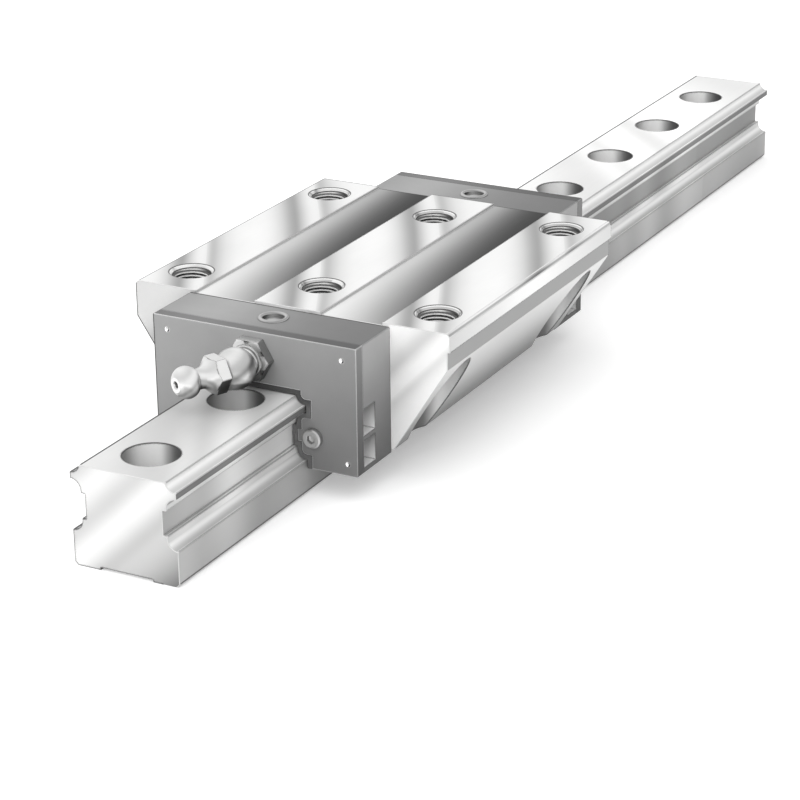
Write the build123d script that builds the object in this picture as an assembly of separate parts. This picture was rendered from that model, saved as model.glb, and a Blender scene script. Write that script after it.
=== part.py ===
# A linear guide: a profiled steel rail and a flanged six-row ball carriage that slides on it.
# Lengths are in millimetres. X is across the rail, Y runs along it and Z is up.
# The origin is at the middle of the rail's underside.
import os
from math import cos, radians, sin, tan

from build123d import *

# Guide rail
rail_width = 23.0
rail_length = 300.0
rail_base_edge = 0.7
rail_waist_width = 16.8
rail_recess_width = 11.4
rail_recess_depth = 0.5

# Fixing holes in the rail
rail_hole_pitch = 30.0
rail_hole_first = 10.0
rail_hole_diameter = 7.0
rail_counterbore_diameter = 11.0
rail_counterbore_depth = 9.0

# Ball rows, which the rail and the carriage share
ball_diameter = 4.366
bottom_row_height = 9.5
row_spacing = 5.8
raceway_gap = 0.05
shoulder_drop = 0.5
waist_relief = 0.4

# Carriage body
block_width = 72.0
carriage_height = 33.0
block_length = 77.4
block_bottom_height = 6.5
block_foot_width = 47.0
flange_depth = 7.7
reference_step_depth = 4.0
reference_step = 0.5
pad_groove_depth = 0.5
centre_pad_width = 15.4
side_pad_inner_width = 42.4
block_top_edge = 0.7
nose_width = 22.4
return_row_offset = 7.1
return_channel_gap = 0.17

# Threaded holes in the carriage
flange_hole_spacing_across = 57.0
flange_hole_spacing_along = 58.0
centre_hole_spacing = 50.0
thread_diameter = 8.0
thread_entry_diameter = 9.4
flange_thread_length = 8.2
flange_pocket_diameter = 12.4

# End caps and end plates
cap_width = 45.8
cap_length = 11.2
cap_top_drop = 0.6
cap_bottom_drop = 0.8
cap_corner_radius = 0.3
plate_thickness = 2.5
cap_rail_gap = 0.7
plate_rail_gap = 1.2
seal_rail_gap = 0.25
seal_proud = 0.25
window_length = 4.7
window_height = 5.6
window_gap = 1.0
window_depth = 3.0
window_bottom = 1.2

# Punch marks in the corners of the end plates
mark_diameter = 1.0
mark_floor_diameter = 0.4
mark_depth = 0.35
mark_side_inset_high = 3.2
mark_side_inset_low = 2.2
mark_top_inset = 2.9
mark_bottom_inset = 2.4

# Port plugs on top of the end caps
port_diameter = 4.8
port_depth = 3.2
plug_rim_diameter = 6.2
plug_rim_height = 0.42
plug_cup_diameter = 4.4
plug_cup_depth = 1.0
plug_cup_rise = 0.35

# Screws that hold the end plates and caps
screw_across = 26.4
screw_head_diameter = 4.0
screw_head_height = 1.3
screw_head_edge = 0.3
screw_shank_diameter = 2.5
screw_bite = 5.0
screw_socket_width = 1.6
screw_socket_depth = 0.8
screw_gap = 0.15

# Grease nipple
nipple_height = 27.0
nipple_turn = 24.0
nipple_base_width = 8.2
nipple_base_length = 2.4
nipple_base_bevel = 25.0
nipple_collar_diameter = 6.6
nipple_collar_length = 0.6
nipple_stem_diameter = 5.0
nipple_elbow_reach = 7.0
nipple_elbow_diameter = 8.4
nipple_hex_width = 7.0
nipple_hex_start = 3.2
nipple_hex_length = 2.6
nipple_cone_length = 1.6
nipple_neck_diameter = 4.2
nipple_neck_length = 2.0
nipple_head_diameter = 6.5
nipple_head_length = 4.2
nipple_tip_diameter = 3.0
nipple_port_diameter = 1.2
nipple_port_depth = 1.5
nipple_spigot_diameter = 4.0

# Cages and seals between the rail and the carriage
cage_rail_gap = 0.3
cage_ball_gap = 0.08
top_cage_inner_width = 10.8
under_seal_width = 9.2
under_seal_thickness = 0.7

# Where the carriage stands on the rail
carriage_overhang = 47.0

# Places that follow from the sizes
rail_start = -rail_length / 2
rail_end = rail_length / 2
ball_radius = ball_diameter / 2
groove_radius = ball_radius + raceway_gap
row_heights = [bottom_row_height + row * row_spacing for row in range(3)]
row_x = rail_width / 2
return_x = row_x + return_row_offset
rail_height = row_heights[2] - shoulder_drop
roof_height = row_heights[2] + groove_radius
wall_x = row_x + groove_radius
plate_front = rail_start + carriage_overhang
cap_front = plate_front + plate_thickness
block_front = cap_front + cap_length
block_back = block_front + block_length
cap_back = block_back + cap_length
plate_back = cap_back + plate_thickness
carriage_middle = (plate_front + plate_back) / 2
cap_top = carriage_height - cap_top_drop
cap_bottom = block_bottom_height - cap_bottom_drop
flange_bottom = carriage_height - flange_depth
screw_height = (row_heights[0] + row_heights[1]) / 2


def strip(x_low, x_high, z_low, z_high):
    """A rectangle in the cross-section, from its corners."""
    middle = ((x_low + x_high) / 2, (z_low + z_high) / 2)
    return Pos(*middle) * Rectangle(x_high - x_low, z_high - z_low)


def side_strip(side, inner, outer, z_low, z_high):
    """A rectangle on one side of the rail, between two distances from its middle."""
    return strip(min(side * inner, side * outer), max(side * inner, side * outer), z_low, z_high)


def along(section, start, end):
    """Stretch a cross-section along the rail between two stations."""
    return extrude(Plane.XZ.offset(-end) * section, end - start)


def rod(x, z, radius, start, end):
    """A round bar along the rail."""
    return along(Pos(x, z) * Circle(radius), start, end)


def bore(radius, depth):
    """A round bar or cutter that goes down from the origin."""
    return Cylinder(radius, depth, align=(Align.CENTER, Align.CENTER, Align.MAX))


def post(radius, height):
    """A round bar that stands on the origin."""
    return Cylinder(radius, height, align=(Align.CENTER, Align.CENTER, Align.MIN))


def row_circles(radius):
    """Circles about the loaded ball rows, on both sides of the rail."""
    circles = Sketch()
    for side in (-1, 1):
        for height in row_heights:
            circles += Pos(side * row_x, height) * Circle(radius)
    return circles


def rail_shape(gap, low):
    """The rail's outline from a lowest height up, grown by a gap on every side."""
    half = rail_width / 2 + gap
    radius = groove_radius - gap
    beyond = half + 1
    shape = strip(-half, half, low, rail_height + gap)
    shape -= row_circles(radius)
    waist_low = row_heights[0] + waist_relief + gap
    waist_high = row_heights[1] - waist_relief - gap
    for side in (-1, 1):
        for height in row_heights:
            shape -= side_strip(side, row_x, beyond, height - radius, height + radius)
        shape -= side_strip(side, row_x - radius, beyond, row_heights[0], row_heights[1])
        shape -= side_strip(side, row_x - radius, beyond, row_heights[2], roof_height)
        shape -= side_strip(side, rail_waist_width / 2 + gap, beyond, waist_low, waist_high)
    return shape


def rail_section():
    """The rail's own section, with bevelled base edges and a shallow recess below."""
    section = rail_shape(0, 0)
    section = chamfer(section.vertices().group_by(Axis.Y)[0], rail_base_edge)
    return section - strip(-rail_recess_width / 2, rail_recess_width / 2, -1, rail_recess_depth)


def rail_hole_stations():
    """Where the fixing holes are along the rail."""
    last = rail_length - rail_counterbore_diameter
    count = int((last - rail_hole_first) // rail_hole_pitch) + 1
    return [rail_start + rail_hole_first + i * rail_hole_pitch for i in range(count)]


def guide_rail():
    """The rail with its row of counterbored fixing holes."""
    rail = along(rail_section(), rail_start, rail_end)
    for y in rail_hole_stations():
        rail -= Pos(0, y, rail_height) * bore(rail_hole_diameter / 2, rail_height + 1)
        rail -= Pos(0, y, rail_height) * bore(rail_counterbore_diameter / 2, rail_counterbore_depth)
    return rail


def cavity_section():
    """The space in the carriage body for the rail, with the outer halves of the ball grooves."""
    space = strip(-row_x, row_x, row_heights[2], roof_height)
    space += strip(-wall_x, wall_x, row_heights[1], row_heights[2])
    space += strip(-nose_width / 2, nose_width / 2, block_bottom_height - 1, row_heights[1])
    space += strip(-wall_x, wall_x, block_bottom_height - 1, row_heights[0])
    space += row_circles(groove_radius)
    return space


def block_outline():
    """The outside of the carriage body, with the reference step on its right side."""
    half = block_width / 2
    foot = block_foot_width / 2
    points = [
        (-foot, block_bottom_height),
        (-half, flange_bottom),
        (-half, carriage_height - block_top_edge),
        (-half + block_top_edge, carriage_height),
        (half - block_top_edge, carriage_height),
        (half, carriage_height - block_top_edge),
        (half, carriage_height - reference_step_depth),
        (half - reference_step, carriage_height - reference_step_depth),
        (half - reference_step, flange_bottom),
        (foot, block_bottom_height),
    ]
    return make_face(Polyline(*points, close=True))


def block_holes():
    """Centres of the six threaded holes, as (x, y, runs into a pocket)."""
    places = []
    for across in (-1, 1):
        for step in (-1, 1):
            x = across * flange_hole_spacing_across / 2
            places.append((x, carriage_middle + step * flange_hole_spacing_along / 2, True))
    for step in (-1, 1):
        places.append((0, carriage_middle + step * centre_hole_spacing / 2, False))
    return places


def carriage_block():
    """The steel body: flanges, top pads, cavity, return channels and threads."""
    section = block_outline() - cavity_section()
    inner = centre_pad_width / 2
    outer = side_pad_inner_width / 2
    floor = carriage_height - pad_groove_depth
    for side in (-1, 1):
        section -= side_strip(side, inner, outer, floor, carriage_height + 1)
        for height in row_heights:
            section -= Pos(side * return_x, height) * Circle(ball_radius + return_channel_gap)
    block = along(section, block_front, block_back)
    entry_depth = (thread_entry_diameter - thread_diameter) / 2
    down = (Align.CENTER, Align.CENTER, Align.MAX)
    entry = Cone(thread_diameter / 2, thread_entry_diameter / 2, entry_depth, align=down)
    for x, y, over_pocket in block_holes():
        top = Pos(x, y, carriage_height)
        depth = flange_thread_length if over_pocket else carriage_height - roof_height
        block -= top * bore(thread_diameter / 2, depth + 1)
        block -= top * entry
        if over_pocket:
            pocket = bore(flange_pocket_diameter / 2, carriage_height)
            block -= Pos(0, 0, -flange_thread_length) * top * pocket
    for side in (-1, 1):
        for start in (block_front - 1, block_back - screw_bite):
            x = side * screw_across / 2
            block -= rod(x, screw_height, screw_shank_diameter / 2, start, start + screw_bite + 1)
    return block


def end_section(gap):
    """The outline of an end cap or plate, open below where the rail passes with the given gap."""
    half = cap_width / 2
    section = strip(-half, half, cap_bottom, cap_top)
    section = fillet(section.vertices(), cap_corner_radius)
    return section - rail_shape(gap, cap_bottom - 1)


def screw_clearance(start, end):
    """The holes for the two plate screws."""
    holes = Part()
    for side in (-1, 1):
        holes += rod(side * screw_across / 2, screw_height, screw_shank_diameter / 2 + screw_gap, start, end)
    return holes


def end_cap(start, end, joint, inward):
    """A plastic cap that turns the balls round, with side windows next to its plate."""
    cap = along(end_section(cap_rail_gap), start, end)
    cap -= screw_clearance(start - 1, end + 1)
    middle = (start + end) / 2
    cap -= Pos(0, middle, cap_top) * bore(port_diameter / 2, port_depth)
    for side in (-1, 1):
        for level in range(2):
            low = cap_bottom + window_bottom + level * (window_height + window_gap)
            box = Box(window_depth, window_length, window_height)
            x = side * (cap_width / 2 - window_depth / 2)
            y = joint + inward * window_length / 2
            cap -= Pos(x, y, low + window_height / 2) * box
    return cap


def end_plate(start, end, face, inward):
    """The thin plate that closes a cap and holds the seal lip, with a punch mark in each corner."""
    plate = along(end_section(plate_rail_gap), start, end)
    plate -= screw_clearance(start - 1, end + 1)
    down = (Align.CENTER, Align.CENTER, Align.MAX)
    mark = Cone(mark_floor_diameter / 2, mark_diameter / 2, mark_depth, align=down)
    corners = [
        (cap_width / 2 - mark_side_inset_high, cap_top - mark_top_inset),
        (cap_width / 2 - mark_side_inset_low, cap_bottom + mark_bottom_inset),
    ]
    for side in (-1, 1):
        for x, z in corners:
            spot = Plane(origin=(side * x, face, z), x_dir=(1, 0, 0), z_dir=(0, -inward, 0))
            plate -= spot * mark
    return plate


def seal_lip(start, end):
    """The lip round the plate's opening, which wipes the rail."""
    lip = rail_shape(plate_rail_gap, cap_bottom) - rail_shape(seal_rail_gap, cap_bottom - 1)
    return along(lip, start, end)


def port_plug(middle):
    """A plug pressed into the cap's top, with a round rim and a shallow cup."""
    rim = plug_rim_diameter / 2
    cup = plug_cup_diameter / 2
    outline = Polyline((cup, -port_depth), (port_diameter / 2, -port_depth), (port_diameter / 2, 0), (rim, 0))
    outline += ThreePointArc((rim, 0), ((rim + cup) / 2, plug_rim_height), (cup, 0))
    outline += Line((cup, 0), (cup, -port_depth))
    sleeve = revolve(Plane.XZ * make_face(outline), Axis.Z, 360)
    crown_radius = (cup**2 + plug_cup_rise**2) / (2 * plug_cup_rise)
    floor = plug_rim_height - plug_cup_depth
    core = bore(cup, port_depth) & Pos(0, 0, floor + plug_cup_rise - crown_radius) * Sphere(crown_radius)
    return Pos(0, middle, cap_top) * (sleeve + core)


def plate_screw(side, face, inward):
    """A screw with a low round head and a hexagon socket, through plate and cap into the body."""
    shank_length = plate_thickness + cap_length + screw_bite - screw_gap
    head = Pos(0, 0, screw_head_height / 2) * Cylinder(screw_head_diameter / 2, screw_head_height)
    head = chamfer(head.edges().group_by(Axis.Z)[-1], screw_head_edge)
    screw = head + bore(screw_shank_diameter / 2, shank_length)
    socket = extrude(RegularPolygon(screw_socket_width / 2, 6, major_radius=False), screw_socket_depth)
    screw -= Pos(0, 0, screw_head_height - screw_socket_depth) * socket
    seat = Plane(origin=(side * screw_across / 2, face, screw_height), x_dir=(1, 0, 0), z_dir=(0, -inward, 0))
    return seat * screw


def bevelled_hexagon(width, length, bevel):
    """A hexagonal prism from the origin up, with its top corners turned to a bevel angle."""
    corner = width / 2 / cos(radians(30))
    drop = (corner - width / 2) * tan(radians(bevel))
    prism = extrude(RegularPolygon(width / 2, 6, major_radius=False), length)
    points = [(0, 0), (corner, 0), (corner, length - drop), (width / 2, length), (0, length)]
    return prism & revolve(Plane.XZ * make_face(Polyline(*points, close=True)), Axis.Z, 360)


def nipple_base():
    """The hexagonal base screwed to the plate, with the round elbow in front of it."""
    seat = Plane(origin=(0, plate_front, nipple_height), x_dir=(0, 0, 1), z_dir=(0, -1, 0))
    base = bevelled_hexagon(nipple_base_width, nipple_base_length, nipple_base_bevel)
    base += post(nipple_collar_diameter / 2, nipple_base_length + nipple_collar_length)
    base += post(nipple_stem_diameter / 2, nipple_elbow_reach)
    base += Pos(0, 0, nipple_elbow_reach) * Sphere(nipple_elbow_diameter / 2)
    return seat * base - nipple_socket()


def nipple_frame():
    """The elbow's outlet: its axis points away from the carriage, turned to the left."""
    turn = radians(nipple_turn)
    axis = (-sin(turn), -cos(turn), 0)
    return Plane(origin=(0, plate_front - nipple_elbow_reach, nipple_height), x_dir=(0, 0, 1), z_dir=axis)


def nipple_socket():
    """The bore in the elbow that the nipple screws into."""
    cut = post(nipple_spigot_diameter / 2, nipple_elbow_diameter)
    cut += Pos(0, 0, nipple_hex_start) * post(nipple_elbow_diameter, nipple_elbow_diameter)
    return nipple_frame() * cut


def grease_nipple():
    """The nipple: hexagon, cone, neck and round head with its grease port."""
    cone_start = nipple_hex_start + nipple_hex_length
    neck_start = cone_start + nipple_cone_length
    head_start = neck_start + nipple_neck_length
    tip = head_start + nipple_head_length
    hexagon = bevelled_hexagon(nipple_hex_width, nipple_hex_length, nipple_base_bevel)
    up = (Align.CENTER, Align.CENTER, Align.MIN)
    cone = Cone(nipple_hex_width / 2, nipple_neck_diameter / 2, nipple_cone_length, align=up)
    piece = post(nipple_spigot_diameter / 2, nipple_hex_start)
    piece += Pos(0, 0, nipple_hex_start) * hexagon
    piece += Pos(0, 0, cone_start) * cone
    half = head_start + nipple_head_length / 2
    neck = nipple_neck_diameter / 2
    profile = Polyline((0, neck_start), (neck, neck_start), (neck, head_start))
    profile += ThreePointArc((neck, head_start), (nipple_head_diameter / 2, half), (nipple_tip_diameter / 2, tip))
    profile += Polyline((nipple_tip_diameter / 2, tip), (0, tip), (0, neck_start))
    piece += revolve(Plane.XZ * make_face(profile), Axis.Z, 360)
    piece -= Pos(0, 0, tip) * bore(nipple_port_diameter / 2, nipple_port_depth)
    return nipple_frame() * piece


def cage_strip(section):
    """A cage strip between the end caps, hollowed round the ball rows beside it."""
    return along(section - row_circles(ball_radius + cage_ball_gap), block_front, block_back)


def top_cage(side):
    """The strip on the rail's top that holds the upper ball row in."""
    outer = row_x - ball_radius / 2
    low = rail_height + cage_rail_gap
    return cage_strip(side_strip(side, top_cage_inner_width / 2, outer, low, roof_height))


def side_cage(side):
    """The strip beside the rail's head, between the upper and the middle row."""
    return cage_strip(side_strip(side, row_x + cage_rail_gap, wall_x, row_heights[1], row_heights[2]))


def inner_cage(side):
    """The strip in the rail's waist, between the middle and the lower row."""
    low = row_heights[0] + waist_relief + cage_rail_gap
    high = row_heights[1] - waist_relief - cage_rail_gap
    inner = rail_waist_width / 2 + cage_rail_gap
    return cage_strip(side_strip(side, inner, nose_width / 2, low, high))


def under_seal(side):
    """The flat seal under the body, which reaches in to the rail's base."""
    inner = rail_width / 2 + seal_rail_gap
    low = block_bottom_height - under_seal_thickness
    section = side_strip(side, inner, inner + under_seal_width, low, block_bottom_height)
    return along(section, block_front, block_back)


def foot_strip(side):
    """The strip that closes the corner below the lower row, on top of the under seal."""
    inner = rail_width / 2 + cage_rail_gap
    return cage_strip(side_strip(side, inner, wall_x, block_bottom_height, row_heights[0]))


os.makedirs("parts", exist_ok=True)
nodes = {
    "guide_rail": guide_rail(),
    "carriage_block": carriage_block(),
    "front_end_cap": end_cap(cap_front, block_front, cap_front, 1),
    "rear_end_cap": end_cap(block_back, cap_back, cap_back, -1),
    "front_end_plate": end_plate(plate_front, cap_front, plate_front, 1),
    "rear_end_plate": end_plate(cap_back, plate_back, plate_back, -1),
    "front_seal_lip": seal_lip(plate_front - seal_proud, cap_front),
    "rear_seal_lip": seal_lip(cap_back, plate_back + seal_proud),
    "front_port_plug": port_plug((cap_front + block_front) / 2),
    "rear_port_plug": port_plug((block_back + cap_back) / 2),
    "nipple_base": nipple_base(),
    "grease_nipple": grease_nipple(),
}
for name, side in (("left", -1), ("right", 1)):
    nodes[f"front_screw_{name}"] = plate_screw(side, plate_front, 1)
    nodes[f"rear_screw_{name}"] = plate_screw(side, plate_back, -1)
    nodes[f"top_cage_{name}"] = top_cage(side)
    nodes[f"side_cage_{name}"] = side_cage(side)
    nodes[f"inner_cage_{name}"] = inner_cage(side)
    nodes[f"foot_strip_{name}"] = foot_strip(side)
    nodes[f"under_seal_{name}"] = under_seal(side)
for name, shape in nodes.items():
    export_step(shape, f"parts/{name}.step")
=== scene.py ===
# The looks of a linear guide: a ground steel rail, a flanged carriage, grey end caps and a grease nipple.
# Sizes are in millimetres, in the frame's own axes: X across the rail, Y along it and Z up.
from math import asin, cos, pi, radians, sin, tan

import bpy
from mathutils import Matrix, Quaternion, Vector


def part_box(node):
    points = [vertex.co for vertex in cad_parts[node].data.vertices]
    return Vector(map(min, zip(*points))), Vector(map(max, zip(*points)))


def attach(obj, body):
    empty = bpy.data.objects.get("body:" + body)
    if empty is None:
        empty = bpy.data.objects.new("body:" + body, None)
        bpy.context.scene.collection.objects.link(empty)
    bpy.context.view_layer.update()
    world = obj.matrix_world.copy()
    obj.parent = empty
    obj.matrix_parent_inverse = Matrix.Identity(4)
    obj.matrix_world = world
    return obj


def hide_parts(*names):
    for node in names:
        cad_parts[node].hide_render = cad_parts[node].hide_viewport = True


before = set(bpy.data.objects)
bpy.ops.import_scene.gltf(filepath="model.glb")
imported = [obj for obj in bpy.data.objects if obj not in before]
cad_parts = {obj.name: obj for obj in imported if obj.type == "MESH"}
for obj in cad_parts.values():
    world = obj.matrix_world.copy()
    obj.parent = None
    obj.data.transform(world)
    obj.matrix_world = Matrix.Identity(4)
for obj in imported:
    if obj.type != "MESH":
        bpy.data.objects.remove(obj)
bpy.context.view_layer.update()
mm = 0.001


# Places read from the frame

def corners(node):
    """The lowest and highest corner of a node, in millimetres."""
    low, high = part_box(node)
    return low / mm, high / mm


rail_low, rail_high = corners("guide_rail")
rail_size = rail_high - rail_low
block_low, block_high = corners("carriage_block")
plate_low, plate_high = corners("front_end_plate")
rear_plate_low, rear_plate_high = corners("rear_end_plate")
carriage_middle = (plate_low.y + rear_plate_high.y) / 2

# Places on the carriage body

block_top_edge = 0.7
flange_depth = 7.7
slope_width = 12.5
reference_step_depth = 4.0
centre_pad_half = 7.7
outer_pad_edge = 21.2
flat_half = block_high.x - block_top_edge
slope_foot = block_low.z
slope_top = block_high.z - flange_depth
left_slope = Vector((slope_top - slope_foot, slope_width)).normalized()
reference_step_height = block_high.z - reference_step_depth

# Places on the rail

rail_flank = 10.8
rail_shoulder = 8.0
rail_waist = 9.1
rail_counterbore = 5.5
rail_foot_line = 0.95
rail_left_line = -8.85

# The caps' side windows: the lowest one's foot, one's rise to the next, and what covers the highest one

window_foot = 1.2
window_rise = 6.6
window_cover = 2.0

# Heights between which the sealing lips go from the tone of their sides to that of their top

lip_sides = 18.0
lip_top = 20.0


# Camera, as the photograph sees the object

camera_place = (251.87, -513.14, 212.56)
camera_look = (-0.4373, 0.8169, -0.3761)
camera_roll = -0.714
camera_lens = 118.94
sensor_width = 36.0
nearest_metres = 0.01
farthest_metres = 20

# Light and floor

lamp_place = (90, -560, 780)
lamp_target = (0, -50, 0)
lamp_size = 1300
lamp_power = 6.6
room_left = 0.92
room_right = 0.62
room_low = 0.7
room_high = 1.0
room_turn = (-0.5, 0.9)
room_rise = (0.0, 0.3)
floor_half = 4000
floor_drop = 0.02
floor_grey = 0.85
floor_glow = 0.32
floor_roughness = 0.9


# Threads in the carriage

thread_pitch = 0.75
thread_outer = 4.03
thread_core = 3.5
thread_top = 1.0
thread_steps = 48
thread_section = ((0.0, -0.48), (1.0, -0.2), (1.0, 0.2), (0.0, 0.48))
thread_crest = 1
flange_thread_length = 8.2
centre_thread_length = 9.6
flange_hole_across = 28.5
flange_hole_along = 29.0
centre_hole_along = 25.0

# Port plugs

plug_rim = 3.1
plug_shaft = 2.4
plug_cup = 2.15
plug_rise = 0.42
plug_floor = -0.58
plug_crown = 0.35
plug_depth = 3.2
plug_seat = 32.4
plug_foot = 0.15
plug_foot_inset = 0.05
plug_crown_halfway = (0.7, 0.52)
plug_rim_steps = 14
plug_floor_steps = 12

# Plate screws

screw_across = 13.2
screw_height = 12.4
screw_head = 2.0
screw_head_height = 1.3
screw_edge = 0.3
screw_shank = 1.25
screw_length = 18.55
screw_socket = 1.6
screw_socket_depth = 0.8
screw_socket_drill = 0.15
screw_drill_share = 0.3

# Grease nipple

nipple_height = 27.0
nipple_turn = 24.0
base_hexagon = 8.2
base_length = 2.4
hexagon_bevel = 25.0
collar_radius = 3.3
collar_length = 0.6
collar_edge = 0.15
stem_radius = 2.5
stem_fillet = 0.25
elbow_reach = 7.0
elbow_radius = 4.2
elbow_steps = 28
elbow_pole_gap = 0.02
nipple_hexagon = 7.0
hexagon_start = 3.2
hexagon_length = 2.6
hexagon_edge = 0.1
cone_length = 1.6
cone_halfway = (0.45, 0.62)
cone_steps = 12
neck_radius = 2.1
neck_length = 2.0
neck_edge = 0.1
neck_blend = 0.5
head_radius = 3.25
head_length = 4.2
head_shoulder = 0.35
head_widest = 0.46
head_steps = 24
tip_radius = 1.5
tip_edge = (0.1, 0.06)
port_radius = 0.6
port_depth = 1.5
port_mouth = (0.2, 0.25)

# Softened edges

machined_edge = 0.13
small_edge = 0.06
sharp_angle = 30.0
flat_angle = 0.5
weld_reach = 0.002


# Meshes

ring_segments = 96
axis_radius = 0.001


def new_mesh(name, points, faces):
    """A mesh object from points in millimetres."""
    mesh = bpy.data.meshes.new(name)
    mesh.from_pydata([Vector(p) * mm for p in points], [], faces)
    mesh.validate()
    mesh.polygons.foreach_set("use_smooth", [True] * len(mesh.polygons))
    piece = bpy.data.objects.new(name, mesh)
    bpy.context.scene.collection.objects.link(piece)
    return piece


def circle_ring(radius, height):
    """A round ring, as (radius, height) at each step round."""
    return [(radius, height)] * ring_segments


def hexagon_radius(width, step):
    """How far a hexagon's edge is from its middle, at one step round."""
    angle = (step * 2 * pi / ring_segments + pi / 6) % (pi / 3) - pi / 6
    return width / 2 / cos(angle)


def hexagon_ring(width, height):
    """A hexagonal ring across flats of the given width."""
    return [(hexagon_radius(width, i), height) for i in range(ring_segments)]


def bevelled_ring(width, top):
    """A hexagonal ring whose corners drop away, as a turned bevel leaves them."""
    slope = tan(radians(hexagon_bevel))
    ring = []
    for i in range(ring_segments):
        radius = hexagon_radius(width, i)
        ring.append((radius, top - (radius - width / 2) * slope))
    return ring


def arc_rings(start, through, end, count):
    """Round rings along the circular arc that passes three (radius, height) points."""
    (ax, ay), (bx, by), (cx, cy) = start, through, end
    divisor = 2 * (ax * (by - cy) + bx * (cy - ay) + cx * (ay - by))
    a_square = ax**2 + ay**2
    b_square = bx**2 + by**2
    c_square = cx**2 + cy**2
    middle = Vector((
        (a_square * (by - cy) + b_square * (cy - ay) + c_square * (ay - by)) / divisor,
        (a_square * (cx - bx) + b_square * (ax - cx) + c_square * (bx - ax)) / divisor,
    ))
    first = Vector(start) - middle
    last = Vector(end) - middle
    halfway = Vector(through) - middle
    sweep = first.angle_signed(halfway) + halfway.angle_signed(last)
    rings = []
    for i in range(count + 1):
        turned = Matrix.Rotation(-sweep * i / count, 2) @ first + middle
        rings.append(circle_ring(max(turned.x, axis_radius), turned.y))
    return rings


def turned_shape(rings, points, faces):
    """Join rings one above the other into a closed skin, added to points and faces."""
    base = len(points)
    for ring in rings:
        for i, (radius, height) in enumerate(ring):
            angle = i * 2 * pi / ring_segments
            points.append((radius * cos(angle), radius * sin(angle), height))
    for level in range(len(rings) - 1):
        low = base + level * ring_segments
        high = low + ring_segments
        for i in range(ring_segments):
            j = (i + 1) % ring_segments
            faces.append((low + i, low + j, high + j, high + i))
    for level, order in ((0, -1), (len(rings) - 1, 1)):
        centre = len(points)
        points.append((0, 0, sum(height for _, height in rings[level]) / ring_segments))
        start = base + level * ring_segments
        for i in range(ring_segments):
            j = (i + 1) % ring_segments
            faces.append((start + i, start + j, centre)[::order])


def turned_piece(name, shapes):
    """One object from closed turned skins, each with the matrix that places it, in millimetres."""
    points, faces = [], []
    for rings, place in shapes:
        own_points, own_faces = [], []
        turned_shape(rings, own_points, own_faces)
        base = len(points)
        points += [place @ Vector(p) for p in own_points]
        faces += [tuple(base + i for i in face) for face in own_faces]
    return new_mesh(name, points, faces)


def axis_frame(origin, axis, sideways):
    """A matrix whose Z is the axis and whose X is the sideways direction."""
    z = Vector(axis).normalized()
    x = Vector(sideways).normalized()
    y = z.cross(x)
    rotation = Matrix((x, y, z)).transposed().to_4x4()
    return Matrix.Translation(Vector(origin)) @ rotation


def join_flat_faces(piece):
    """Weld a node's points and join the triangles of its flat faces."""
    weld = piece.modifiers.new("weld", "WELD")
    weld.merge_threshold = weld_reach * mm
    flat = piece.modifiers.new("flat faces", "DECIMATE")
    flat.decimate_type = "DISSOLVE"
    flat.angle_limit = radians(flat_angle)


def soften(piece, width):
    """Round the sharp edges a little and shade the faces cleanly."""
    bevel = piece.modifiers.new("edges", "BEVEL")
    bevel.width = width * mm
    bevel.segments = 2
    bevel.limit_method = "ANGLE"
    bevel.angle_limit = radians(sharp_angle)
    bevel.use_clamp_overlap = False
    bevel.miter_outer = "MITER_SHARP"
    if len(piece.data.materials) > 1:
        bevel.material = 1
    normals = piece.modifiers.new("shading", "WEIGHTED_NORMAL")
    normals.weight = 100


def dress(piece, body, slot, material, *nodes):
    """Give a piece its body and material, and hide the nodes it stands for. The slot is not used."""
    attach(piece, body)
    if nodes:
        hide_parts(*nodes)
    piece.data.materials.append(material)


# Materials

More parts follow.
